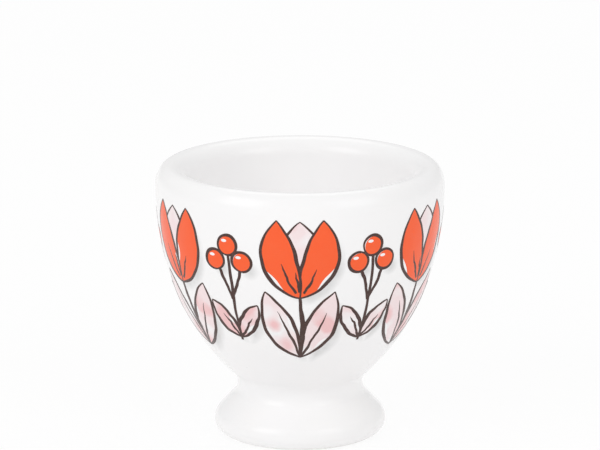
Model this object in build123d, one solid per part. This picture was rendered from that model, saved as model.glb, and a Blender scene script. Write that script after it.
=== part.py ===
from build123d import *
import math
import os

# A footed, glazed egg cup. Lengths are millimetres and angles are degrees. The cup stands on the
# table at Z = 0 with its axis on Z, and the front of its print faces -Y.

# Outer shape, measured over the glaze
RIM_RADIUS = 26.0        # widest radius of the bowl, a little below the lip
HEIGHT = 49.6            # table to the top of the lip
SIDE_ARC = 56.6          # radius of the nearly upright side of the bowl
SIDE_SWEEP = 16.9        # angle that the side arc runs down before the belly takes over
RIM_ROLL = 4.5           # rounding from the side towards the lip
LIP_SETBACK = 2.5        # how far the top of the lip stands in from the widest radius
LIP_ROLL = 2.0           # rounding up to the top of the lip
MOUTH_ROLL = 3.0         # rounding from the top of the lip down into the mouth
WAIST_RADIUS = 11.3      # narrowest radius, between bowl and foot
WAIST_HEIGHT = 9.15      # table to the waist
WAIST_ROLL = 3.0         # radius of the crease at the waist
FOOT_RADIUS = 15.5       # widest radius of the foot
FOOT_ROLL = 3.0          # rounding over the top of the foot
TOE_ROLL = 2.3           # rounding from the widest foot down to the table

# Inside of the bowl and of the foot
SEAT_TAPER = 2.5         # how much tighter the round seat for the egg is than the mouth
FLOOR = 4.6              # clay under the seat
FOOT_WALL = 4.3          # clay and glaze of the foot at the waist
RING_WIDTH = 3.2         # flat of the ring that stands on the table
RING_EASE = 0.5          # rounding on the inner edge of that ring

# Thin layers
GLAZE = 0.35             # thickness of the glaze
GLAZE_LINE = 0.3         # height above the table where the outer glaze ends
RECESS_GLAZE_LINE = 1.4  # height above the table where the glaze under the foot ends
SLIP = 0.4               # layer of slip that joins the bowl to the foot
PRINT_FILM = 0.08        # thickness of the fired ink
PRINT_CLEARANCE = 0.02   # clearance between the ink and the glaze that carries it

# Print: tulips with a sprig of berries between them, all the way round
PRINT_REPEATS = 6
PRINT_DROP = 4.4         # top of the tulips below the lip
TULIP_HEIGHT = 26.6      # foot of the stem to the tips of the outer petals
STEM_WIDTH = 1.0
PETAL_LENGTH = 15.0
PETAL_LEAN = 16.0
PETAL_OUTER_BELLY = 4.6
PETAL_INNER_BELLY = 1.5
MIDDLE_PETAL_LENGTH = 14.2
MIDDLE_PETAL_BELLY = 3.8
LEAF_LENGTH = 14.6
LEAF_LEAN = 25.0
LEAF_OUTER_BELLY = 3.0
LEAF_INNER_BELLY = 1.9
SPRIG_LIFT = 3.0         # foot of a sprig above the foot of the tulip stems
SPRIG_HEIGHT = 18.4      # foot of a sprig to its middle berry
SPRIG_FORK = 8.2         # foot of a sprig to where the outer stalks leave it
SPRIG_SPREAD = 20.0      # lean of the two outer stalks
OUTER_STALK = 7.8
BERRY_RADIUS = 1.85
STALK_WIDTH = 0.6
SPRIG_LEAF_LIFT = 0.6    # foot of a sprig to its two leaves
SPRIG_LEAF_LENGTH = 8.2
SPRIG_LEAF_LEAN = 34.0
SPRIG_LEAF_BELLY = 1.5

TOUCH = 1e-6             # ends of two edges closer than this are one point

# Roundings stay inside the walls that carry them
lip_roll = min(LIP_ROLL, 0.8 * LIP_SETBACK)
waist_rise = WAIST_HEIGHT - TOE_ROLL
waist_roll = min(WAIST_ROLL, 0.45 * waist_rise)
foot_roll = min(FOOT_ROLL, 0.45 * waist_rise)

# Heights that several pieces share
lip_height = HEIGHT - lip_roll
mouth_height = HEIGHT - MOUTH_ROLL
rim_offset = RIM_ROLL - LIP_SETBACK
rim_height = lip_height - math.sqrt((RIM_ROLL - lip_roll) ** 2 - rim_offset**2)
foot_top = WAIST_HEIGHT - SLIP / 2
bowl_underside = WAIST_HEIGHT + SLIP / 2
seat_bottom = bowl_underside + FLOOR + GLAZE


def polar(centre, radius, angle):
    """Point of a circle at an angle."""
    turn = math.radians(angle)
    return (centre[0] + radius * math.cos(turn), centre[1] + radius * math.sin(turn))


def bearing(start, end):
    """Angle of the direction from one point to another."""
    return math.degrees(math.atan2(end[1] - start[1], end[0] - start[0]))


# Centres of the round stretches, as (radius, height)
toe_centre = (FOOT_RADIUS - TOE_ROLL, TOE_ROLL)
foot_centre = (FOOT_RADIUS - foot_roll, TOE_ROLL)
waist_centre = (WAIST_RADIUS + waist_roll, WAIST_HEIGHT)
side_centre = (RIM_RADIUS - SIDE_ARC, rim_height)
rim_centre = (RIM_RADIUS - RIM_ROLL, rim_height)
crest_radius = RIM_RADIUS - LIP_SETBACK
lip_centre = (crest_radius, lip_height)
mouth_centre = (crest_radius, mouth_height)

# The belly arc leaves the side arc smoothly and runs into the crease of the waist
belly_top = polar(side_centre, SIDE_ARC, -SIDE_SWEEP)
down = polar((0, 0), 1, -SIDE_SWEEP)
to_waist = (waist_centre[0] - belly_top[0], waist_centre[1] - belly_top[1])
along_down = to_waist[0] * down[0] + to_waist[1] * down[1]
belly_arc = (to_waist[0] ** 2 + to_waist[1] ** 2 - waist_roll**2) / (2 * (waist_roll - along_down))
belly_centre = polar(belly_top, -belly_arc, -SIDE_SWEEP)
belly_end = bearing(belly_centre, waist_centre)

# The straight flank of the foot touches the foot's rounding and the crease of the waist
flank_reach = math.dist(foot_centre, waist_centre)
flank_turn = math.degrees(math.acos((foot_roll + waist_roll) / flank_reach))
flank_angle = bearing(foot_centre, waist_centre) - flank_turn

# The inner side drops straight from the mouth and runs into the round seat
mouth_radius = crest_radius - MOUTH_ROLL
seat_arc = mouth_radius - SEAT_TAPER
seat_centre = (0, seat_bottom + seat_arc)
seat_drop = mouth_height - seat_centre[1]
inner_arc = (mouth_radius**2 + seat_drop**2 - seat_arc**2) / (2 * SEAT_TAPER)
inner_centre = (mouth_radius - inner_arc, mouth_height)
seat_edge = bearing(inner_centre, seat_centre)

# Angle on the toe where the outer glaze ends
glaze_end = -math.degrees(math.asin((TOE_ROLL - GLAZE_LINE) / TOE_ROLL))

# Round stretches in order, each with centre, radius, start, end and 1 for a swell or -1 for a hollow
TOE = (toe_centre, TOE_ROLL, glaze_end, 0, 1)
FOOT_TOP = (foot_centre, foot_roll, 0, flank_angle, 1)
CREASE = (waist_centre, waist_roll, flank_angle + 180, belly_end + 180, -1)
BELLY = (belly_centre, belly_arc, belly_end, -SIDE_SWEEP, 1)
SIDE = (side_centre, SIDE_ARC, -SIDE_SWEEP, 0, 1)
RIM = (rim_centre, RIM_ROLL, 0, bearing(rim_centre, lip_centre), 1)
LIP = (lip_centre, lip_roll, bearing(rim_centre, lip_centre), 90, 1)
MOUTH = (mouth_centre, MOUTH_ROLL, 90, 180, 1)
INNER_SIDE = (inner_centre, inner_arc, 0, seat_edge, -1)
SEAT = (seat_centre, seat_arc, seat_edge, -90, -1)
SKIN = [TOE, FOOT_TOP, CREASE, BELLY, SIDE, RIM, LIP, MOUTH, INNER_SIDE, SEAT]
PRINTED = [BELLY, SIDE]


def skin(stretches, depth):
    """Edges that run along the stretches at a depth below the glazed surface."""
    edges = []
    for centre, radius, start, end, bulge in stretches:
        edge = CenterArc(centre, radius - bulge * depth, start, end - start)
        if edges and (edge @ 0 - edges[-1] @ 1).length > TOUCH:
            edges.append(Line(edges[-1] @ 1, edge @ 0))
        edges.append(edge)
    return edges


def turned(edges):
    """Solid turned about the axis from a closed outline in radius and height."""
    return revolve(Plane.XZ * make_face(edges), Axis.Z)


def band(stretches, upper, lower):
    """Layer between two depths below the glazed surface."""
    top = skin(stretches, upper)
    bottom = skin(stretches, lower)
    ends = [Line(top[0] @ 0, bottom[0] @ 0), Line(top[-1] @ 1, bottom[-1] @ 1)]
    return turned(top + bottom + ends)


# Radius of the hollow under the foot
ring_outer = FOOT_RADIUS - TOE_ROLL
ring_inner = ring_outer - RING_WIDTH
recess_top = WAIST_RADIUS - FOOT_WALL
recess_slope = (ring_inner - recess_top) / bowl_underside


def recess_radius(height):
    """Radius of the tapered hollow under the foot at a height."""
    return ring_inner - recess_slope * height


def make_clay():
    """Fired clay of bowl, slip and foot, turned as one outline and cut apart at the waist."""
    under_glaze = skin(SKIN, GLAZE)
    bare_toe = CenterArc(toe_centre, TOE_ROLL, -90, glaze_end + 90)
    glaze_step = Line(bare_toe @ 1, under_glaze[0] @ 0)
    recess = Polyline(
        under_glaze[-1] @ 1,
        (0, bowl_underside),
        (recess_top, bowl_underside),
        (ring_inner, 0),
        (ring_outer, 0),
    )
    clay = turned([bare_toe, glaze_step, *under_glaze, *recess.edges()])
    bowl = split(clay, Plane.XY.offset(bowl_underside), keep=Keep.TOP)
    lower = split(clay, Plane.XY.offset(bowl_underside), keep=Keep.BOTTOM)
    slip_joint = split(lower, Plane.XY.offset(foot_top), keep=Keep.TOP)
    foot = split(lower, Plane.XY.offset(foot_top), keep=Keep.BOTTOM)
    ring_edges = foot.edges().filter_by(GeomType.CIRCLE).filter_by_position(Axis.Z, 0, 0)
    foot = fillet(ring_edges.sort_by(SortBy.RADIUS)[0], RING_EASE)
    return {"bowl": bowl, "slip_joint": slip_joint, "foot": foot}


def make_recess_glaze():
    """Glaze on the tapered wall and the ceiling of the hollow under the foot."""
    level = GLAZE * math.hypot(1, recess_slope)
    ceiling = bowl_underside - GLAZE
    outline = Polyline(
        (recess_radius(RECESS_GLAZE_LINE), RECESS_GLAZE_LINE),
        (recess_top, bowl_underside),
        (0, bowl_underside),
        (0, ceiling),
        (recess_radius(ceiling) - level, ceiling),
        (recess_radius(RECESS_GLAZE_LINE) - level, RECESS_GLAZE_LINE),
        close=True,
    )
    return turned(outline.edges())


def leaf(length, left_belly, right_belly):
    """Pointed leaf from the origin upwards, bounded by two arcs."""
    left = ThreePointArc((0, 0), (-left_belly, length / 2), (0, length))
    right = ThreePointArc((0, length), (right_belly, length / 2), (0, 0))
    return make_face([left, right])


def strip(length, width):
    """Straight inked stroke from the origin upwards."""
    return Pos(0, length / 2) * Rectangle(width, length)


def paint(areas):
    """What still shows of areas listed from front to back, by print node."""
    inks = {}
    covered = None
    for node, area in areas:
        seen = area - covered if covered else area
        inks.setdefault(node, []).append(seen)
        covered = covered + area if covered else area
    return inks


def draw_tulip():
    """One tulip on its stem with two leaves, flat, with the foot of the stem at the origin."""
    petal_rise = PETAL_LENGTH * math.cos(math.radians(PETAL_LEAN))
    stem = TULIP_HEIGHT - petal_rise
    left = Rot(0, 0, PETAL_LEAN) * leaf(PETAL_LENGTH, PETAL_OUTER_BELLY, PETAL_INNER_BELLY)
    right = Rot(0, 0, -PETAL_LEAN) * leaf(PETAL_LENGTH, PETAL_INNER_BELLY, PETAL_OUTER_BELLY)
    middle = leaf(MIDDLE_PETAL_LENGTH, MIDDLE_PETAL_BELLY, MIDDLE_PETAL_BELLY)
    left_leaf = Rot(0, 0, LEAF_LEAN) * leaf(LEAF_LENGTH, LEAF_OUTER_BELLY, LEAF_INNER_BELLY)
    right_leaf = Rot(0, 0, -LEAF_LEAN) * leaf(LEAF_LENGTH, LEAF_INNER_BELLY, LEAF_OUTER_BELLY)
    return paint(
        [
            ("print_orange_petals", Pos(0, stem) * left),
            ("print_orange_petals", Pos(0, stem) * right),
            ("print_pink_petals", Pos(0, stem) * middle),
            ("print_dark_stems", strip(stem, STEM_WIDTH)),
            ("print_pink_leaves", left_leaf),
            ("print_pink_leaves", right_leaf),
        ]
    )


def draw_sprig():
    """Three berries on their stalks over two leaves, flat, with the foot of the sprig at the origin."""
    stalks = [
        (0, 0, SPRIG_HEIGHT),
        (SPRIG_FORK, SPRIG_SPREAD, OUTER_STALK),
        (SPRIG_FORK, -SPRIG_SPREAD, OUTER_STALK),
    ]
    berries = []
    lines = []
    for foot, lean, length in stalks:
        place = Pos(0, foot) * Rot(0, 0, lean)
        berries.append(("print_orange_berries", place * Pos(0, length) * Circle(BERRY_RADIUS)))
        lines.append(("print_dark_stems", place * strip(length, STALK_WIDTH)))
    leaves = []
    for lean in (SPRIG_LEAF_LEAN, -SPRIG_LEAF_LEAN):
        place = Pos(0, SPRIG_LEAF_LIFT) * Rot(0, 0, lean)
        leaves.append(
            ("print_pink_leaves", place * leaf(SPRIG_LEAF_LENGTH, SPRIG_LEAF_BELLY, SPRIG_LEAF_BELLY))
        )
    return paint(berries + lines + leaves)


def make_print():
    """Fired ink on the glaze, one list of films for each print node."""
    film = band(PRINTED, -PRINT_CLEARANCE, -PRINT_CLEARANCE - PRINT_FILM)
    tulip_foot = HEIGHT - PRINT_DROP - TULIP_HEIGHT
    turn = 360 / PRINT_REPEATS
    motifs = [(draw_tulip(), tulip_foot, 0), (draw_sprig(), tulip_foot + SPRIG_LIFT, turn / 2)]
    films = {}
    for inks, foot, angle in motifs:
        for node, areas in inks.items():
            stamps = [extrude(Plane.XZ * Pos(0, foot) * area, RIM_RADIUS + RIM_ROLL) for area in areas]
            patches = [patch for stamp in stamps for patch in (film & stamp).solids()]
            for repeat in range(PRINT_REPEATS):
                place = Rot(0, 0, angle + repeat * turn)
                films.setdefault(node, []).extend(place * patch for patch in patches)
    return films


def main():
    nodes = make_clay()
    nodes["glaze_coat"] = band(SKIN, 0, GLAZE)
    nodes["recess_glaze"] = make_recess_glaze()
    for node, films in make_print().items():
        nodes[node] = Compound(films)
    os.makedirs("parts", exist_ok=True)
    for node, shape in nodes.items():
        export_step(shape, f"parts/{node}.step")


main()
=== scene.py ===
import math
import random
from collections import namedtuple

import bpy
import numpy as np
from bpy.props import FloatProperty, FloatVectorProperty, IntProperty, PointerProperty
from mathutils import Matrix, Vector
from mathutils.geometry import delaunay_2d_cdt


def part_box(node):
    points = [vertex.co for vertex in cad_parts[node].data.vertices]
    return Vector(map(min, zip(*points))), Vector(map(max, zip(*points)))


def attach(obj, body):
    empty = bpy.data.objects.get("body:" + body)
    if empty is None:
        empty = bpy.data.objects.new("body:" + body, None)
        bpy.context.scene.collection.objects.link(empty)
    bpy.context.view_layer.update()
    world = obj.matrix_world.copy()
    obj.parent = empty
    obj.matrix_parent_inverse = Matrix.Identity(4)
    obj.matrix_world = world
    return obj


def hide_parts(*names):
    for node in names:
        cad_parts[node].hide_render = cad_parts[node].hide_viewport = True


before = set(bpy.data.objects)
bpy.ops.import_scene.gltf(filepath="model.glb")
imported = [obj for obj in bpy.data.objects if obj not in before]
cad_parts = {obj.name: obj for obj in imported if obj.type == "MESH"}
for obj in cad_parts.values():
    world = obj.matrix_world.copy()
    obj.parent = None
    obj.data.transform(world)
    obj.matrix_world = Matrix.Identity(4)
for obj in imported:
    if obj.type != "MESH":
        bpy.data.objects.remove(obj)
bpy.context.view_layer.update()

bl_info = {
    "name": "Glazed egg cup",
    "version": (1, 0, 0),
    "blender": (4, 5, 0),
    "location": "View3D > Sidebar > Egg cup",
    "description": "Dresses a turned egg cup with its glaze, its printed tulips and a plain studio",
    "category": "Add Mesh",
}

GLAZE_LOW, GLAZE_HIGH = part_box("glaze_coat")
SLIP_LOW, SLIP_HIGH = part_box("slip_joint")
STEM_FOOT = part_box("print_dark_stems")[0].z
PETAL_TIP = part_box("print_orange_petals")[1].z
MM = 0.001
PHOTO_WIDTH = 600
WHITE = (1, 1, 1, 1)
NEAR_CLIP = 10 * MM

# Fineness of the meshes, and the angles from which an edge is sharp
SHOWN_STEP, SHOWN_TURN = 0.6 * MM, math.radians(5)
HIDDEN_STEP, HIDDEN_TURN = 1.5 * MM, math.radians(15)
SAME_POINT = 1e-7
CUT_MARGIN = 1e-4
GLAZE_CREASE = math.radians(60)
INK_CREASE = math.radians(40)

# Wander of the fired cup: an oval, and a ripple that turns as it climbs, in radians per metre
OVAL_SHARE, OVAL_START = 0.6, 0.7
RIPPLE_SHARE, RIPPLE_WAVES, RIPPLE_CLIMB = 0.4, 3, 90

# Hand that draws the print: waves of a stroke as size and count, their share in its width, and
# the step between the random seeds of tulips and sprigs
HAND_WAVES = ((0.6, 1.3), (0.3, 2.7), (0.2, 5.1))
PRESS_SWING = 0.16
SEED_STEP = 101

# Width of a stroke at its start and its end, as shares of its full width
OUTLINE_ENDS = (0.45, 0.3)
VEIN_ENDS = (0.9, 0.15)
STEM_ENDS = (0.8, 0.6)
STALK_ENDS = (0.7, 0.7)
RING_ENDS = (0.6, 0.4)

# Bare sliver: where it starts and how far it runs along a side, each with what chance adds
SLIVER_START, START_CHANCE = 0.14, 0.2
SLIVER_RUN, RUN_CHANCE = 0.32, 0.16

# Veins: start and end as shares of a leaf's length, and bend as a share of the leaf's own
Vein = namedtuple("Vein", "start end bend")
LEFT_PETAL_VEINS = (Vein(0.08, 0.5, -0.3), Vein(0.1, 0.36, 0.15))
RIGHT_PETAL_VEINS = (Vein(0.08, 0.46, 0.3),)
LEAF_VEINS = (Vein(0.06, 0.72, 0.25),)
SPRIG_VEINS = (Vein(0.06, 0.66, 0.2),)

# Bends of the tulips' stems and of the berries' stalks
STEM_BEND, STALK_BEND = 0.4 * MM, 0.25 * MM

# Berry: run and sway of its outline and stalk, then the sizes and places of fill and glint
RING_SWEEP, RING_POINTS = 2.06 * math.pi, 48
RING_SWING, STALK_SWING = 0.5, 0.7
THIN_LINE = 0.85
BERRY_FILL = 0.96
FILL_SLIP = np.array([0.22, -0.18])
GLINT_SIZE, GLINT_POINTS = 0.2, 16
GLINT_STRETCH = np.array([1.5, 0.8])
GLINT_PLACE = np.array([-0.3, 0.42])

# Gloss of glaze and inks: past a roughness of 0.25 a denoised render leaves hairs on them
GLAZE_IOR = 1.4
SMOOTHEST, ROUGHEST = 0.22, 0.246
SPECK_SPACING = 3.1

# Sockets of a colour mix
MIX_SHARE, MIX_FIRST, MIX_SECOND, MIX_RESULT = 0, 6, 7, 2

# A round stretch of the turned outline: bulge is 1 for a swell and -1 for a hollow
Arc = namedtuple("Arc", "centre radius start end bulge")
# A leaf or petal: its length, the bends of its left and right sides, and its veins
Leaf = namedtuple("Leaf", "run left right veins")


def length(name, description, default):
    return FloatProperty(
        name=name, description=description, default=default, unit="LENGTH", precision=5
    )


def angle(name, description, degrees):
    return FloatProperty(
        name=name, description=description, default=math.radians(degrees), subtype="ANGLE"
    )


def number(name, description, default):
    return FloatProperty(name=name, description=description, default=default)


def count(name, description, default, least):
    return IntProperty(name=name, description=description, default=default, min=least)


def colour(name, description, default):
    return FloatVectorProperty(
        name=name, description=description, default=default, subtype="COLOR", size=3, min=0, max=1
    )


class CupSizes(bpy.types.PropertyGroup):
    """Sizes of the turned cup, measured over the glaze"""

    rim_radius: length("Rim radius", "Widest radius of the bowl", GLAZE_HIGH.x)
    height: length("Height", "Table to the top of the lip", GLAZE_HIGH.z)
    side_arc: length("Side arc", "Radius of the nearly upright side", 56.6 * MM)
    side_sweep: angle("Side sweep", "Run of the side arc below the widest height", 16.9)
    rim_roll: length("Rim roll", "Rounding from the side towards the lip", 4.5 * MM)
    lip_setback: length("Lip setback", "Widest radius to the top of the lip", 2.5 * MM)
    lip_roll: length("Lip roll", "Rounding up to the top of the lip", 2.0 * MM)
    mouth_roll: length("Mouth roll", "Rounding from the lip into the mouth", 3.0 * MM)
    waist_radius: length("Waist radius", "Narrowest radius", 11.3 * MM)
    waist_height: length("Waist height", "Table to the waist", (SLIP_LOW.z + SLIP_HIGH.z) / 2)
    waist_roll: length("Waist roll", "Radius of the crease at the waist", 3.0 * MM)
    foot_radius: length("Foot radius", "Widest radius of the foot", 15.5 * MM)
    foot_roll: length("Foot roll", "Rounding over the top of the foot", 3.0 * MM)
    toe_roll: length("Toe roll", "Rounding from the foot to the table", 2.3 * MM)
    seat_taper: length("Seat taper", "Mouth radius less the radius of the round seat", 2.5 * MM)
    seat_bottom: length("Seat bottom", "Table to the lowest point of the seat", 14.3 * MM)
    glaze: length("Glaze", "Thickness of the glaze", 0.35 * MM)
    glaze_line: length("Glaze line", "Height where the outer glaze ends", GLAZE_LOW.z)
    drift: length("Drift", "How far the fired cup strays from a true circle", 0.04 * MM)
    segments: count("Segments", "Steps round the cup", 288, 48)


class PrintSizes(bpy.types.PropertyGroup):
    """Sizes of the printed tulips and sprigs"""

    repeats: count("Repeats", "Tulips round the cup", 6, 1)
    foot: length("Stem foot", "Table to the foot of the tulip stems", STEM_FOOT)
    tip: length("Petal tips", "Table to the tips of the outer petals", PETAL_TIP)
    petal: length("Petal", "Length of an outer petal", 15.0 * MM)
    petal_lean: angle("Petal lean", "Lean of the outer petals", 16)
    petal_outer: length("Petal outside", "Bend of a petal's outer side", 4.6 * MM)
    petal_inner: length("Petal inside", "Bend of a petal's inner side", 1.5 * MM)
    middle: length("Middle petal", "Length of the middle petal", 14.2 * MM)
    middle_bend: length("Middle bend", "Bend of the middle petal's sides", 3.8 * MM)
    leaf: length("Leaf", "Length of a leaf", 14.6 * MM)
    leaf_lean: angle("Leaf lean", "Lean of the leaves", 25)
    leaf_outer: length("Leaf outside", "Bend of a leaf's outer side", 3.0 * MM)
    leaf_inner: length("Leaf inside", "Bend of a leaf's inner side", 1.9 * MM)
    sprig_lift: length("Sprig lift", "Foot of a sprig above the foot of the tulips", 3.0 * MM)
    sprig: length("Sprig", "Foot of a sprig to its middle berry", 18.4 * MM)
    sprig_fork: length("Sprig fork", "Foot of a sprig to its outer stalks", 8.2 * MM)
    sprig_spread: angle("Sprig spread", "Lean of the outer stalks", 20)
    outer_stalk: length("Outer stalk", "Length of the outer stalks", 7.8 * MM)
    berry: length("Berry", "Radius of a berry", 1.85 * MM)
    sprig_leaf_lift: length("Sprig leaf lift", "Foot of a sprig to its leaves", 0.6 * MM)
    sprig_leaf: length("Sprig leaf", "Length of a leaf on a sprig", 8.2 * MM)
    sprig_leaf_lean: angle("Sprig leaf lean", "Lean of the leaves on a sprig", 34)
    sprig_leaf_bend: length("Sprig leaf bend", "Bend of a sprig leaf's sides", 1.5 * MM)
    stem_line: length("Stem line", "Width of an inked stem", 0.95 * MM)
    outline: length("Outline", "Width of the inked outlines", 0.74 * MM)
    fine_line: length("Fine line", "Width of the inked veins", 0.5 * MM)
    swing: length("Swing", "How far the hand strays from the drawn arc", 0.16 * MM)
    sliver: length("Sliver", "Widest bare sliver along an outline", 0.85 * MM)
    wash_across: length("Wash across", "Shift of the grey wash to the right", 1.4 * MM)
    wash_down: length("Wash down", "Fall of the grey wash", 1.6 * MM)
    wash_fade: length("Wash fade", "Width of the wash's soft edge", 1.3 * MM)
    film: length("Film", "Height of the fired ink over the glaze", 0.03 * MM)
    wash_film: length("Wash film", "Height of the fired wash over the glaze", 0.012 * MM)
    sink: length("Sink", "Depth of the fired ink in the glaze", 0.03 * MM)
    mesh_step: length("Mesh step", "Spacing of points inside a fill", 0.8 * MM)


class CupColours(bpy.types.PropertyGroup):
    """Colours of clay, glaze, inks and floor"""

    glaze: colour("Glaze", "White of the glaze", (0.97, 0.965, 0.968))
    clay: colour("Clay", "Unglazed clay", (0.89, 0.875, 0.845))
    orange: colour("Orange", "Orange-red ink", (0.99, 0.116, 0.024))
    pale_pink: colour("Pale pink", "Thin pink wash", (0.93, 0.778, 0.787))
    deep_pink: colour("Deep pink", "Pooled pink wash", (0.9, 0.57, 0.575))
    brown: colour("Brown", "Ink of the lines", (0.066, 0.031, 0.025))
    grey: colour("Grey", "Grey wash", (0.705, 0.7, 0.698))
    floor: colour("Floor", "Floor", (0.98, 0.98, 0.98))


class StageSizes(bpy.types.PropertyGroup):
    """Camera, lamps and floor"""

    distance: length("Distance", "Camera to the point it looks at", 0.7)
    elevation: angle("Elevation", "Height of the camera as an angle", 13.63)
    target: length("Target", "Height of the point that the camera looks at", 38.2 * MM)
    focal_px: number("Focal length", "In photo pixels", 3880.0)
    floor: length("Floor", "Half the width of the floor", 3.0)
    floor_drop: length("Floor drop", "Hair of air under the standing ring", 0.02 * MM)
    floor_glow: number("Floor glow", "Share of plain white in the floor", 0.9)
    fill: number("Fill", "Light from all round", 0.68)
    bounces: count("Bounces", "Times that white glaze hands light on", 12, 0)
    lamp_distance: length("Lamp distance", "Softboxes to the point that they light", 0.9)
    lamp_size: length("Lamp size", "Width of a softbox", 0.5)
    left_watts: number("Left lamp", "Watts of the left softbox", 1.7)
    right_watts: number("Right lamp", "Watts of the right softbox", 1.2)
    back_watts: number("Back lamp", "Watts of the back softbox", 0.95)
    left_turn: angle("Left turn", "Left softbox from the front", -50)
    right_turn: angle("Right turn", "Right softbox from the front", 46)
    front_rise: angle("Front rise", "Height of the two front softboxes as an angle", 31)
    back_rise: angle("Back rise", "Height of the back softbox as an angle", 55)


# Turned outline


def polar(centre, radius, turn):
    """Point of a circle at an angle."""
    return (centre[0] + radius * math.cos(turn), centre[1] + radius * math.sin(turn))


def bearing(start, end):
    """Angle of the direction from one point to another."""
    return math.atan2(end[1] - start[1], end[0] - start[0])


def cup_arcs(cup):
    """Round stretches of the glazed surface by name, from the toe over the lip to the seat."""
    lip_height = cup.height - cup.lip_roll
    mouth_height = cup.height - cup.mouth_roll
    rim_offset = cup.rim_roll - cup.lip_setback
    rim_height = lip_height - math.sqrt((cup.rim_roll - cup.lip_roll) ** 2 - rim_offset**2)
    crest = cup.rim_radius - cup.lip_setback
    mouth = crest - cup.mouth_roll
    toe = (cup.foot_radius - cup.toe_roll, cup.toe_roll)
    foot = (cup.foot_radius - cup.foot_roll, cup.toe_roll)
    waist = (cup.waist_radius + cup.waist_roll, cup.waist_height)
    side = (cup.rim_radius - cup.side_arc, rim_height)
    rim = (cup.rim_radius - cup.rim_roll, rim_height)
    lip = (crest, lip_height)

    # The belly starts in line with the side and touches the crease at the waist
    belly_top = polar(side, cup.side_arc, -cup.side_sweep)
    down = polar((0, 0), 1, -cup.side_sweep)
    drop = (waist[0] - belly_top[0], waist[1] - belly_top[1])
    along = drop[0] * down[0] + drop[1] * down[1]
    reach_squared = drop[0] ** 2 + drop[1] ** 2 - cup.waist_roll**2
    belly_arc = reach_squared / (2 * (cup.waist_roll - along))
    belly = polar(belly_top, -belly_arc, -cup.side_sweep)
    belly_end = bearing(belly, waist)

    # A straight flank touches the swell of the foot and the crease
    reach = math.dist(foot, waist)
    flank = bearing(foot, waist) - math.acos((cup.foot_roll + cup.waist_roll) / reach)

    # The inner side is upright at the mouth and runs into the round seat
    seat_arc = mouth - cup.seat_taper
    seat = (0, cup.seat_bottom + seat_arc)
    inner_reach = mouth**2 + (mouth_height - seat[1]) ** 2 - seat_arc**2
    inner_arc = inner_reach / (2 * cup.seat_taper)
    inner = (mouth - inner_arc, mouth_height)
    seat_edge = bearing(inner, seat)

    glaze_end = -math.asin((cup.toe_roll - cup.glaze_line) / cup.toe_roll)
    rim_end = bearing(rim, lip)
    return {
        "toe": Arc(toe, cup.toe_roll, glaze_end, 0, 1),
        "foot": Arc(foot, cup.foot_roll, 0, flank, 1),
        "crease": Arc(waist, cup.waist_roll, flank + math.pi, belly_end + math.pi, -1),
        "belly": Arc(belly, belly_arc, belly_end, -cup.side_sweep, 1),
        "side": Arc(side, cup.side_arc, -cup.side_sweep, 0, 1),
        "rim": Arc(rim, cup.rim_roll, 0, rim_end, 1),
        "lip": Arc(lip, cup.lip_roll, rim_end, math.pi / 2, 1),
        "mouth": Arc((crest, mouth_height), cup.mouth_roll, math.pi / 2, math.pi, 1),
        "inner": Arc(inner, inner_arc, 0, seat_edge, -1),
        "seat": Arc(seat, seat_arc, seat_edge, -math.pi / 2, -1),
    }


def skin(arcs, depth, step, turn_step):
    """Points along the stretches at a depth below the glazed surface, as radius and height."""
    points = []
    for arc in arcs.values():
        radius = arc.radius - arc.bulge * depth
        sweep = abs(arc.end - arc.start)
        steps = 1 + max(math.ceil(sweep / turn_step), math.ceil(sweep * radius / step))
        for turn in np.linspace(arc.start, arc.end, steps + 1):
            point = polar(arc.centre, radius, turn)
            if not points or math.dist(points[-1], point) > SAME_POINT:
                points.append(point)
    points[-1] = (0.0, points[-1][1])
    return points


def drift(cup, turn, height):
    """Slight wander of the fired cup from a true circle."""
    oval = np.sin(2 * turn + OVAL_START)
    ripple = np.sin(RIPPLE_WAVES * turn + RIPPLE_CLIMB * height)
    return cup.drift * (OVAL_SHARE * oval + RIPPLE_SHARE * ripple)


def wall_at(arcs, heights):
    """Radius of the outer wall and its outward slope (radial, upward) at heights."""
    radius = np.zeros_like(heights)
    slope = np.zeros_like(heights)
    for name in ("belly", "side", "rim"):
        arc = arcs[name]
        low = arc.centre[1] + arc.radius * math.sin(arc.start)
        here = heights >= low
        turn = np.arcsin(np.clip((heights[here] - arc.centre[1]) / arc.radius, -1, 1))
        radius[here] = arc.centre[0] + arc.radius * np.cos(turn)
        slope[here] = turn
    return radius, np.cos(slope), np.sin(slope)


# Meshes


def new_piece(name, points, faces, material):
    """Object with a shaded mesh that rides on the cup."""
    mesh = bpy.data.meshes.new(name)
    mesh.from_pydata([tuple(p) for p in points], [], faces)
    if mesh.validate():
        raise RuntimeError(f"{name} has faces that are not sound")
    mesh.polygons.foreach_set("use_smooth", [True] * len(mesh.polygons))
    mesh.materials.append(material)
    mesh.update()
    piece = bpy.data.objects.new(name, mesh)
    bpy.context.scene.collection.objects.link(piece)
    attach(piece, "root")
    return piece


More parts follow.
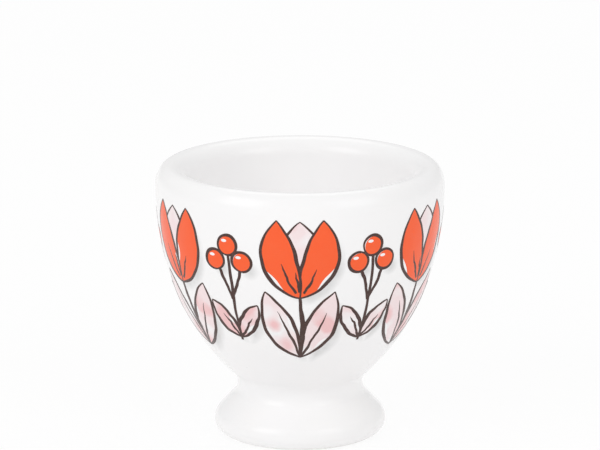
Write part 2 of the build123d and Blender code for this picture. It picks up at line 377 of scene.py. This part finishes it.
def lathe(cup, outline):
    """Points and faces of a closed outline turned about the axis; points on it become poles."""
    turns = np.arange(cup.segments) * (2 * math.pi / cup.segments)
    points = []
    rings = []
    for radius, height in outline:
        first = len(points)
        if radius == 0.0:
            points.append((0.0, 0.0, height))
            rings.append([first] * cup.segments)
            continue
        reach = radius + drift(cup, turns, height) * min(1.0, radius / cup.waist_radius)
        across, along = reach * np.cos(turns), reach * np.sin(turns)
        points.extend(zip(across, along, [height] * cup.segments))
        rings.append(list(range(first, first + cup.segments)))
    faces = []
    for here, above in zip(rings, rings[1:] + rings[:1]):
        for a, b in zip(range(cup.segments), [*range(1, cup.segments), 0]):
            corners = [here[a], here[b], above[b], above[a]]
            face = list(dict.fromkeys(corners))
            if len(face) > 2:
                faces.append(face)
    return points, faces


# Drawing of the print, flat: across the cup and up


def bent(run, bend, steps=28):
    """Points of an arc from the origin straight up, bent to the right, or left if negative."""
    radius = (run**2 / 4 + bend**2) / (2 * abs(bend))
    reach = math.asin(run / 2 / radius)
    turns = np.linspace(-reach, reach, steps)
    across = np.sign(bend) * (radius * np.cos(turns) - radius + abs(bend))
    return np.column_stack([across, run / 2 + radius * np.sin(turns)])


def placed(points, lean, foot):
    """Points leaned to the left about the origin and moved up to a foot height."""
    c, s = math.cos(lean), math.sin(lean)
    return points @ np.array([[c, s], [-s, c]]) + np.array([0.0, foot])


def normals(points):
    """Unit normals to the right of a path."""
    ahead = np.gradient(points, axis=0)
    ahead /= np.linalg.norm(ahead, axis=1)[:, None]
    return np.column_stack([ahead[:, 1], -ahead[:, 0]])


def wander(steps, draw):
    """Smooth random swing between about -1 and 1 along a stroke."""
    way = np.linspace(0, 1, steps)
    return sum(
        size * np.sin(2 * math.pi * (pitch * way + draw.random())) for size, pitch in HAND_WAVES
    )


def hand_drawn(points, swing, draw):
    """The path as a hand draws it, true at both ends."""
    hold = np.sin(np.linspace(0, math.pi, len(points))) ** 0.5
    return points + normals(points) * (swing * hold * wander(len(points), draw))[:, None]


def stroke(points, width, draw, ends=OUTLINE_ENDS):
    """Outline of a brush stroke along a path, fuller in the middle than at its ends."""
    start, end = ends
    way = np.linspace(0, 1, len(points))
    press = 1 - (1 - start) * (1 - way) ** 3 - (1 - end) * way**3
    half = width / 2 * press * (1 + PRESS_SWING * wander(len(points), draw))
    side = normals(points) * half[:, None]
    return np.vstack([points + side, (points - side)[::-1]])


def bare_sliver(side, inward, widest, draw):
    """Crescent along a stretch of a side that the fill leaves bare."""
    first = int((SLIVER_START + START_CHANCE * draw.random()) * len(side))
    last = first + int((SLIVER_RUN + RUN_CHANCE * draw.random()) * len(side))
    edge = side[first:last]
    gap = widest * np.sin(np.linspace(0, math.pi, len(edge)))
    inner = edge + inward * normals(side)[first:last] * gap[:, None]
    return np.vstack([edge, inner[-2:0:-1]])


def veined(veins, bend):
    """Veins with their bend as a length, from the bend of their leaf."""
    return [Vein(vein.start, vein.end, vein.bend * bend) for vein in veins]


def draw_leaf(layers, ink, leaf, lean, foot, sizes, draw):
    """Adds one outlined leaf or petal to the layers."""
    left = hand_drawn(placed(bent(leaf.run, -leaf.left), lean, foot), sizes.swing, draw)
    right = hand_drawn(placed(bent(leaf.run, leaf.right), lean, foot), sizes.swing, draw)
    layers.append(("lines", stroke(left, sizes.outline, draw)))
    layers.append(("lines", stroke(right, sizes.outline, draw)))
    for vein in leaf.veins:
        path = placed(bent(leaf.run, vein.bend), lean, foot)
        path = path[int(vein.start * len(path)) : int(vein.end * len(path))]
        path = hand_drawn(path, sizes.swing, draw)
        layers.append(("lines", stroke(path, sizes.fine_line, draw, VEIN_ENDS)))
    bare = (left, 1) if draw.random() < 0.5 else (right, -1)
    layers.append(("paper", bare_sliver(*bare, sizes.sliver, draw)))
    body = np.vstack([left, right[-2:0:-1]])
    layers.append((ink, body))
    return body


def washed(bodies, sizes):
    """Grey wash of shapes, shifted to the right and down."""
    shift = np.array([sizes.wash_across, -sizes.wash_down])
    return [("wash", body + shift) for body in bodies]


def draw_tulip(sizes, draw):
    """Layers of one tulip from front to back."""
    layers = []
    foot, lean, leaf_lean = sizes.foot, sizes.petal_lean, sizes.leaf_lean
    bloom = sizes.tip - sizes.petal * math.cos(lean)
    outer, inner = sizes.petal_outer, sizes.petal_inner
    left_petal = Leaf(sizes.petal, outer, inner, veined(LEFT_PETAL_VEINS, outer))
    right_petal = Leaf(sizes.petal, inner, outer, veined(RIGHT_PETAL_VEINS, outer))
    middle_petal = Leaf(sizes.middle, sizes.middle_bend, sizes.middle_bend, [])
    midrib = veined(LEAF_VEINS, sizes.leaf_inner)
    left_leaf = Leaf(sizes.leaf, sizes.leaf_outer, sizes.leaf_inner, midrib)
    right_leaf = Leaf(sizes.leaf, sizes.leaf_inner, sizes.leaf_outer, midrib)
    bodies = [
        draw_leaf(layers, "petals", left_petal, lean, bloom, sizes, draw),
        draw_leaf(layers, "petals", right_petal, -lean, bloom, sizes, draw),
        draw_leaf(layers, "middles", middle_petal, 0, bloom, sizes, draw),
    ]
    stem = hand_drawn(placed(bent(bloom - foot, STEM_BEND), 0, foot), sizes.swing, draw)
    layers.append(("lines", stroke(stem, sizes.stem_line, draw, STEM_ENDS)))
    bodies.append(draw_leaf(layers, "leaves", left_leaf, leaf_lean, foot, sizes, draw))
    bodies.append(draw_leaf(layers, "leaves", right_leaf, -leaf_lean, foot, sizes, draw))
    return layers + washed(bodies, sizes)


def on_circle(turns):
    """Points of the unit circle at angles."""
    return np.column_stack([np.cos(turns), np.sin(turns)])


def circle(radius, steps=40):
    """Closed ring of points, without a repeat of the first."""
    return radius * on_circle(np.arange(steps) * (2 * math.pi / steps))


def draw_sprig(sizes, draw):
    """Layers of three berries on their stalks from front to back."""
    layers = []
    bodies = []
    foot = sizes.foot + sizes.sprig_lift
    line = THIN_LINE * sizes.outline
    stalks = [
        (0, 0, sizes.sprig),
        (sizes.sprig_fork, sizes.sprig_spread, sizes.outer_stalk),
        (sizes.sprig_fork, -sizes.sprig_spread, sizes.outer_stalk),
    ]
    for lift, lean, run in stalks:
        centre = placed(np.array([[0.0, run]]), lean, foot + lift)[0]
        start = 2 * math.pi * draw.random()
        turns = np.linspace(start, start + RING_SWEEP, RING_POINTS)
        ring = centre + sizes.berry * on_circle(turns)
        ring = hand_drawn(ring, RING_SWING * sizes.swing, draw)
        spot = GLINT_SIZE * circle(1.0, GLINT_POINTS) * GLINT_STRETCH
        body = centre + circle(sizes.berry)
        fill = centre + sizes.sliver * FILL_SLIP + circle(BERRY_FILL * sizes.berry)
        layers.append(("lines", stroke(ring, line, draw, RING_ENDS)))
        layers.append(("paper", centre + sizes.berry * (spot + GLINT_PLACE)))
        layers.append(("berries", fill))
        layers.append(("paper", body))
        bodies.append(body)
    for lift, lean, run in stalks:
        stalk = placed(bent(run, STALK_BEND), lean, foot + lift)
        stalk = hand_drawn(stalk, STALK_SWING * sizes.swing, draw)
        layers.append(("lines", stroke(stalk, line, draw, STALK_ENDS)))
    bend = sizes.sprig_leaf_bend
    leaf = Leaf(sizes.sprig_leaf, bend, bend, veined(SPRIG_VEINS, bend))
    leaf_foot = foot + sizes.sprig_leaf_lift
    for lean in (sizes.sprig_leaf_lean, -sizes.sprig_leaf_lean):
        bodies.append(draw_leaf(layers, "leaves", leaf, lean, leaf_foot, sizes, draw))
    return layers + washed(bodies, sizes)


def inside(points, outline):
    """True for each point that the closed outline winds round."""
    x, y = points[:, :1], points[:, 1:]
    ax, ay = outline.T
    bx, by = np.roll(outline, -1, axis=0).T
    side = (bx - ax) * (y - ay) - (x - ax) * (by - ay)
    upward = (ay <= y) & (by > y) & (side > 0)
    downward = (ay > y) & (by <= y) & (side < 0)
    return upward.sum(axis=1) != downward.sum(axis=1)


def cut_apart(layers, step):
    """Triangles of each ink where it shows, as flat points and {ink: triangles}."""
    points = []
    edges = []
    for _, outline in layers:
        first = len(points)
        corners = len(outline)
        points.extend(outline)
        edges.extend((first + n, first + (n + 1) % corners) for n in range(corners))
    low, high = np.min(points, axis=0), np.max(points, axis=0)
    for row, up in enumerate(np.arange(low[1], high[1], step * math.sqrt(3) / 2)):
        for across in np.arange(low[0] + step / 2 * (row % 2), high[0], step):
            points.append((across, up))
    scaled = [Vector((x / MM, y / MM)) for x, y in points]
    flat, _, faces, *_ = delaunay_2d_cdt(scaled, edges, [], 0, CUT_MARGIN, False)
    flat = np.array([tuple(p) for p in flat]) * MM
    middles = flat[np.array(faces)].mean(axis=1)
    owners = np.full(len(faces), -1)
    for index in reversed(range(len(layers))):
        owners[inside(middles, layers[index][1])] = index
    inks = {}
    for face, owner in zip(faces, owners):
        if owner >= 0:
            inks.setdefault(layers[owner][0], []).append(face)
    return flat, inks


def on_cup(cup, arcs, flat, turn, lift):
    """Flat points laid on the wall at a turn from the front, lifted off the glaze."""
    radius, outward, upward = wall_at(arcs, flat[:, 1])
    about = turn - math.pi / 2 + np.arcsin(flat[:, 0] / radius)
    reach = radius + drift(cup, about, flat[:, 1]) + lift * outward
    height = flat[:, 1] + lift * upward
    return np.column_stack([reach * np.cos(about), reach * np.sin(about), height])


def depth_in(points, outline):
    """How deep each point lies inside a closed outline, or 0 outside it."""
    span = np.roll(outline, -1, axis=0) - outline
    away = points[:, None] - outline
    share = np.clip((away * span).sum(axis=2) / (span**2).sum(axis=1), 0, 1)
    near = np.linalg.norm(away - span * share[:, :, None], axis=2).min(axis=1)
    return np.where(inside(points, outline), near, 0.0)


class InkFilm:
    """Closed thin films of one ink, gathered from all motifs."""

    def __init__(self):
        self.points = []
        self.faces = []
        self.fade = []

    def add(self, top, bottom, faces, fade):
        """Adds the triangles that use some of the points, with their underside and rim."""
        used = sorted({corner for face in faces for corner in face})
        first = len(self.points)
        upper = {corner: first + n for n, corner in enumerate(used)}
        lower = {corner: first + len(used) + n for n, corner in enumerate(used)}
        self.points.extend(top[used])
        self.points.extend(bottom[used])
        self.fade.extend([*fade[used], *fade[used]])
        sides = {(a, b) for face in faces for a, b in zip(face, face[1:] + face[:1])}
        self.faces.extend([upper[c] for c in face] for face in faces)
        self.faces.extend([lower[c] for c in reversed(face)] for face in faces)
        for a, b in sides:
            if (b, a) not in sides:
                self.faces.append([upper[b], upper[a], lower[a], lower[b]])


FILMS = {}


def print_films(scene):
    """Films of every ink, drawn once and kept for the operators that turn them into pieces."""
    if FILMS:
        return FILMS
    cup, sizes = scene.egg_cup, scene.egg_cup_print
    arcs = cup_arcs(cup)
    pitch = 2 * math.pi / sizes.repeats
    for motif, (drawing, start) in enumerate(((draw_tulip, 0), (draw_sprig, pitch / 2))):
        for repeat in range(sizes.repeats):
            layers = drawing(sizes, random.Random(SEED_STEP * motif + repeat))
            flat, inks = cut_apart(layers, sizes.mesh_step)
            turn = start + repeat * pitch
            ink_top = on_cup(cup, arcs, flat, turn, sizes.film)
            wash_top = on_cup(cup, arcs, flat, turn, sizes.wash_film)
            bottom = on_cup(cup, arcs, flat, turn, -sizes.sink)
            shades = [depth_in(flat, outline) for ink, outline in layers if ink == "wash"]
            fade = np.clip(np.max(shades, axis=0) / sizes.wash_fade, 0, 1)
            for ink, faces in inks.items():
                if ink != "paper":
                    top = wash_top if ink == "wash" else ink_top
                    FILMS.setdefault(ink, InkFilm()).add(top, bottom, faces, fade)
    return FILMS


def print_piece(context, ink, name, material, node=None):
    """One ink as a piece on the cup, in place of its plain film."""
    film = print_films(context.scene)[ink]
    piece = new_piece(name, film.points, film.faces, material)
    piece.data.set_sharp_from_angle(angle=INK_CREASE)
    fade = piece.data.attributes.new("fade", "FLOAT", "POINT")
    fade.data.foreach_set("value", film.fade)
    if node:
        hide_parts(node)


# Materials


class Finish:
    """A node material whose textures are measured in millimetres on the cup."""

    def __init__(self, name):
        self.material = bpy.data.materials.new(name)
        self.material.use_nodes = True
        self.tree = self.material.node_tree
        self.shader = self.tree.nodes["Principled BSDF"]
        spot = self.tree.nodes.new("ShaderNodeTexCoord").outputs["Object"]
        self.place = self.add("ShaderNodeVectorMath", operation="SCALE", Vector=spot, Scale=1 / MM)

    def add(self, kind, **settings):
        """New node; a setting is one of its properties, or the value or source of an input."""
        node = self.tree.nodes.new(kind)
        for key, value in settings.items():
            if hasattr(node, key):
                setattr(node, key, value)
            else:
                self.feed(node.inputs[key], value)
        return node

    def feed(self, socket, value):
        """Links a source to an input, or sets its value."""
        if isinstance(value, bpy.types.Node):
            value = value.outputs[0]
        if isinstance(value, bpy.types.NodeSocket):
            self.tree.links.new(value, socket)
        else:
            socket.default_value = value

    def noise(self, size, detail=2.0, rough=0.5):
        """Cloudy noise whose clouds are about so many millimetres across."""
        clouds = {"Scale": 1 / size, "Detail": detail, "Roughness": rough}
        return self.add("ShaderNodeTexNoise", Vector=self.place, **clouds).outputs["Fac"]

    def span(self, value, low, high, start=0.0, end=1.0):
        """Value from low to high remapped to start to end, and held at both."""
        limits = {"From Min": low, "From Max": high, "To Min": start, "To Max": end}
        return self.add("ShaderNodeMapRange", Value=value, **limits).outputs["Result"]

    def product(self, first, second):
        """Two values multiplied."""
        node = self.add("ShaderNodeMath", operation="MULTIPLY")
        self.feed(node.inputs[0], first)
        self.feed(node.inputs[1], second)
        return node

    def blend(self, share, first, second):
        """Colour between two colours."""
        node = self.add("ShaderNodeMix", data_type="RGBA")
        self.feed(node.inputs[MIX_SHARE], share)
        for socket, value in ((MIX_FIRST, first), (MIX_SECOND, second)):
            paint = (*value, 1.0) if isinstance(value, tuple) else value
            self.feed(node.inputs[socket], paint)
        return node.outputs[MIX_RESULT]

    def bump(self, height, distance, under=None):
        """Bump of so many millimetres, over another bump if there is one."""
        node = self.add("ShaderNodeBump", Height=height, Distance=distance * MM)
        if under:
            self.feed(node.inputs["Normal"], under)
        return node

    def surface(self, colour, roughness, normal):
        """The material, with its colour, roughness and bump."""
        self.feed(self.shader.inputs["Base Color"], colour)
        self.feed(self.shader.inputs["Roughness"], roughness)
        self.feed(self.shader.inputs["Normal"], normal)
        return self.material


def shade(colour, factor):
    """A colour made darker or paler by a factor."""
    return tuple(min(1.0, factor * part) for part in colour)


def tint(colour, filters):
    """A colour seen through a filter for each of its parts."""
    return tuple(part * passed for part, passed in zip(colour, filters))


def brightened(colour, light):
    """A colour with a little added to each of its parts."""
    return tuple(part + more for part, more in zip(colour, light))


def glossy_skin(finish):
    """Roughness and bump of a fired glaze: slow waves and a faint orange peel."""
    finish.shader.inputs["IOR"].default_value = GLAZE_IOR
    waves = finish.bump(finish.noise(size=9.0, detail=1.0), distance=0.03)
    peel = finish.bump(finish.noise(size=0.9, detail=1.0), distance=0.0015, under=waves)
    patches = finish.noise(size=5.0)
    shine = finish.span(patches, low=0.3, high=0.7, start=SMOOTHEST, end=ROUGHEST)
    return shine, peel


def glaze_finish(colours):
    """Glossy white glaze, a touch warmer in slow clouds, with a few darker specks."""
    finish = Finish("white_glaze")
    white = tuple(colours.glaze)
    clouds = finish.span(finish.noise(size=14.0), low=0.35, high=0.65)
    warm = tint(white, filters=(1.0, 0.997, 0.992))
    base = finish.blend(clouds, shade(white, factor=0.992), warm)
    specks = finish.add("ShaderNodeTexVoronoi", Vector=finish.place, Scale=1 / SPECK_SPACING)
    chosen = finish.span(specks.outputs["Color"], low=0.86, high=0.9)
    near = finish.span(specks.outputs["Distance"], low=0.02, high=0.045, start=1.0, end=0.0)
    base = finish.blend(finish.product(chosen, near), base, shade(white, factor=0.8))
    return finish.surface(base, *glossy_skin(finish))


def clay_finish(colours):
    """Dry fired clay: warm, mottled and finely grained."""
    finish = Finish("bare_clay")
    clay = tuple(colours.clay)
    mottle = finish.span(finish.noise(size=1.3, detail=5.0, rough=0.7), low=0.3, high=0.7)
    base = finish.blend(mottle, shade(clay, factor=0.95), shade(clay, factor=1.03))
    grain = finish.bump(finish.noise(size=0.25, detail=3.0, rough=0.65), distance=0.03)
    dry = finish.span(finish.noise(size=1.0), low=0.3, high=0.7, start=0.75, end=0.92)
    return finish.surface(base, dry, grain)


def orange_finish(colours):
    """Flat orange-red ink, laid a little unevenly."""
    finish = Finish("orange_ink")
    orange = tuple(colours.orange)
    uneven = finish.span(finish.noise(size=3.5, detail=3.0, rough=0.6), low=0.3, high=0.7)
    thin = brightened(shade(orange, factor=0.99), light=(0.0, 0.012, 0.007))
    base = finish.blend(uneven, orange, thin)
    return finish.surface(base, *glossy_skin(finish))


def pink_finish(colours):
    """Thin pink wash with soft pools of deeper pink, running out to the bare glaze."""
    finish = Finish("pink_ink")
    pools = finish.span(finish.noise(size=5.5, detail=1.5, rough=0.4), low=0.5, high=0.62)
    veil = finish.span(finish.noise(size=8.0), low=0.36, high=0.52)
    bare = shade(tuple(colours.glaze), factor=0.97)
    base = finish.blend(veil, bare, tuple(colours.pale_pink))
    base = finish.blend(pools, base, tuple(colours.deep_pink))
    return finish.surface(base, *glossy_skin(finish))


def brown_finish(colours):
    """Brown-black line ink, here and there rubbed a little thinner."""
    finish = Finish("brown_ink")
    brown = tuple(colours.brown)
    thin = finish.span(finish.noise(size=0.7, detail=3.0, rough=0.7), low=0.5, high=0.75)
    rubbed = brightened(brown, light=(0.03, 0.03, 0.03))
    base = finish.blend(thin, brown, rubbed)
    return finish.surface(base, *glossy_skin(finish))


def wash_finish(colours):
    """Watery grey that fades into the white glaze."""
    finish = Finish("grey_wash")
    fade = finish.add("ShaderNodeAttribute", attribute_name="fade").outputs["Fac"]
    cloud = finish.span(finish.noise(size=3.0), low=0.25, high=0.7, start=0.55, end=1.0)
    share = finish.product(fade, cloud)
    base = finish.blend(share, tuple(colours.glaze), tuple(colours.grey))
    return finish.surface(base, *glossy_skin(finish))


# Operators


class EGGCUP_OT_glaze(bpy.types.Operator):
    """Turn the glaze over the outside, the lip and the inside of the bowl"""

    bl_idname = "eggcup.glaze"
    bl_label = "Glaze"

    def execute(self, context):
        scene = context.scene
        cup = scene.egg_cup
        arcs = cup_arcs(cup)
        shown = skin(arcs, 0, SHOWN_STEP, SHOWN_TURN)
        hidden = skin(arcs, cup.glaze, HIDDEN_STEP, HIDDEN_TURN)
        points, faces = lathe(cup, shown + hidden[::-1])
        piece = new_piece("white_glaze", points, faces, glaze_finish(scene.egg_cup_colours))
        piece.data.set_sharp_from_angle(angle=GLAZE_CREASE)
        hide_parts("glaze_coat")
        return {"FINISHED"}


class EGGCUP_OT_clay(bpy.types.Operator):
    """Give the bowl, the foot and the slip between them their clay, and the recess its glaze"""

    bl_idname = "eggcup.clay"
    bl_label = "Clay"

    def execute(self, context):
        colours = context.scene.egg_cup_colours
        clay = clay_finish(colours)
        for node in ("bowl", "foot", "slip_joint"):
            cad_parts[node].data.materials[0] = clay
        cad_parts["recess_glaze"].data.materials[0] = glaze_finish(colours)
        return {"FINISHED"}


class EGGCUP_OT_orange_print(bpy.types.Operator):
    """Lay the orange ink of petals and berries"""

    bl_idname = "eggcup.orange_print"
    bl_label = "Orange print"

    def execute(self, context):
        ink = orange_finish(context.scene.egg_cup_colours)
        print_piece(context, "petals", "outer_petals", ink, "print_orange_petals")
        print_piece(context, "berries", "berries", ink, "print_orange_berries")
        return {"FINISHED"}


class EGGCUP_OT_pink_print(bpy.types.Operator):
    """Lay the pink ink of middle petals and leaves"""

    bl_idname = "eggcup.pink_print"
    bl_label = "Pink print"

    def execute(self, context):
        ink = pink_finish(context.scene.egg_cup_colours)
        print_piece(context, "middles", "middle_petals", ink, "print_pink_petals")
        print_piece(context, "leaves", "leaves", ink, "print_pink_leaves")
        return {"FINISHED"}


class EGGCUP_OT_line_print(bpy.types.Operator):
    """Lay the brown ink of stems, outlines and veins"""

    bl_idname = "eggcup.line_print"
    bl_label = "Line print"

    def execute(self, context):
        ink = brown_finish(context.scene.egg_cup_colours)
        print_piece(context, "lines", "ink_lines", ink, "print_dark_stems")
        return {"FINISHED"}


class EGGCUP_OT_wash_print(bpy.types.Operator):
    """Lay the grey wash beside the drawn shapes"""

    bl_idname = "eggcup.wash_print"
    bl_label = "Grey wash"

    def execute(self, context):
        ink = wash_finish(context.scene.egg_cup_colours)
        print_piece(context, "wash", "grey_wash", ink)
        return {"FINISHED"}


def white_for_eyes(tree, lit, glow):
    """Lit shader mixed with plain white for the camera and for reflections."""
    path = tree.nodes.new("ShaderNodeLightPath")
    seen = path.outputs["Is Camera Ray"]
    for kind in ("Is Glossy Ray", "Is Transmission Ray"):
        either = tree.nodes.new("ShaderNodeMath")
        either.operation = "MAXIMUM"
        tree.links.new(seen, either.inputs[0])
        tree.links.new(path.outputs[kind], either.inputs[1])
        seen = either.outputs[0]
    share = tree.nodes.new("ShaderNodeMath")
    share.operation = "MULTIPLY"
    share.inputs[1].default_value = glow
    tree.links.new(seen, share.inputs[0])
    white = tree.nodes.new("ShaderNodeEmission")
    white.inputs["Color"].default_value = WHITE
    mix = tree.nodes.new("ShaderNodeMixShader")
    tree.links.new(share.outputs[0], mix.inputs[0])
    tree.links.new(lit.outputs[0], mix.inputs[1])
    tree.links.new(white.outputs[0], mix.inputs[2])
    return mix.outputs[0]


def around(target, distance, turn, rise):
    """Point at a distance from a target, turned from the front to the right and raised."""
    level = math.cos(rise)
    way = Vector((math.sin(turn) * level, -math.cos(turn) * level, math.sin(rise)))
    return target + distance * way


def aimed(name, data, place, target):
    """New object at a place that looks at a target."""
    thing = bpy.data.objects.new(name, data)
    thing.location = place
    thing.rotation_euler = (target - place).to_track_quat("-Z", "Y").to_euler()
    bpy.context.scene.collection.objects.link(thing)
    return thing


def softbox(name, stage, turn, rise, watts):
    """Square area lamp aimed at the cup."""
    lamp = bpy.data.lights.new(name, "AREA")
    lamp.size = stage.lamp_size
    lamp.energy = watts
    target = Vector((0, 0, stage.target))
    aimed(name, lamp, around(target, stage.lamp_distance, turn, rise), target)


class EGGCUP_OT_stage(bpy.types.Operator):
    """Set the floor, the light and the camera"""

    bl_idname = "eggcup.stage"
    bl_label = "Stage"

    def execute(self, context):
        scene = context.scene
        stage = scene.egg_cup_stage
        self.add_floor(scene, stage)
        self.add_light(scene, stage)
        self.add_camera(scene, stage)
        scene.view_settings.view_transform = "Standard"
        return {"FINISHED"}

    def add_floor(self, scene, stage):
        """Pale floor just under the cup."""
        half, low = stage.floor, -stage.floor_drop
        mesh = bpy.data.meshes.new("floor")
        corners = [(-half, -half, low), (half, -half, low), (half, half, low), (-half, half, low)]
        mesh.from_pydata(corners, [], [(0, 1, 2, 3)])
        material = bpy.data.materials.new("pale_floor")
        material.use_nodes = True
        tree = material.node_tree
        tree.nodes.remove(tree.nodes["Principled BSDF"])
        matte = tree.nodes.new("ShaderNodeBsdfDiffuse")
        matte.inputs["Color"].default_value = (*scene.egg_cup_colours.floor, 1)
        out = tree.nodes["Material Output"]
        tree.links.new(white_for_eyes(tree, matte, stage.floor_glow), out.inputs["Surface"])
        mesh.materials.append(material)
        floor = bpy.data.objects.new("floor", mesh)
        scene.collection.objects.link(floor)

    def add_light(self, scene, stage):
        """Even light from all round and three softboxes."""
        world = bpy.data.worlds.new("white_room")
        world.use_nodes = True
        scene.world = world
        room = world.node_tree.nodes["Background"]
        room.inputs["Color"].default_value = WHITE
        room.inputs["Strength"].default_value = stage.fill
        softbox("left_softbox", stage, stage.left_turn, stage.front_rise, stage.left_watts)
        softbox("right_softbox", stage, stage.right_turn, stage.front_rise, stage.right_watts)
        softbox("back_softbox", stage, math.pi, stage.back_rise, stage.back_watts)
        scene.cycles.diffuse_bounces = stage.bounces

    def add_camera(self, scene, stage):
        """Camera in front of the cup, looking a little down."""
        data = bpy.data.cameras.new("camera")
        data.sensor_fit = "HORIZONTAL"
        data.lens = stage.focal_px * data.sensor_width / PHOTO_WIDTH
        data.clip_start = NEAR_CLIP
        target = Vector((0, 0, stage.target))
        place = around(target, stage.distance, 0, stage.elevation)
        scene.camera = aimed("camera", data, place, target)


class EGGCUP_PT_panel(bpy.types.Panel):
    """Lists the steps that dress the cup"""

    bl_idname = "EGGCUP_PT_panel"
    bl_label = "Egg cup"
    bl_space_type = "VIEW_3D"
    bl_region_type = "UI"
    bl_category = "Egg cup"

    def draw(self, context):
        for step in STEPS:
            self.layout.operator(step.bl_idname)
        for group in SETTINGS:
            settings = getattr(context.scene, group)
            for name in settings.bl_rna.properties.keys():
                if name not in ("rna_type", "name"):
                    self.layout.prop(settings, name)


SETTINGS = {
    "egg_cup": CupSizes,
    "egg_cup_print": PrintSizes,
    "egg_cup_colours": CupColours,
    "egg_cup_stage": StageSizes,
}
STEPS = (
    EGGCUP_OT_stage,
    EGGCUP_OT_glaze,
    EGGCUP_OT_clay,
    EGGCUP_OT_orange_print,
    EGGCUP_OT_pink_print,
    EGGCUP_OT_line_print,
    EGGCUP_OT_wash_print,
)


def register():
    for group in (*SETTINGS.values(), *STEPS, EGGCUP_PT_panel):
        bpy.utils.register_class(group)
    for name, group in SETTINGS.items():
        setattr(bpy.types.Scene, name, PointerProperty(type=group))


def unregister():
    for name in SETTINGS:
        delattr(bpy.types.Scene, name)
    for group in (EGGCUP_PT_panel, *reversed(STEPS), *reversed(SETTINGS.values())):
        bpy.utils.unregister_class(group)


def main():
    register()
    bpy.ops.eggcup.stage()
    bpy.ops.eggcup.glaze()
    bpy.ops.eggcup.clay()
    bpy.ops.eggcup.orange_print()
    bpy.ops.eggcup.pink_print()
    bpy.ops.eggcup.line_print()
    bpy.ops.eggcup.wash_print()


if __name__ == "__main__":
    main()
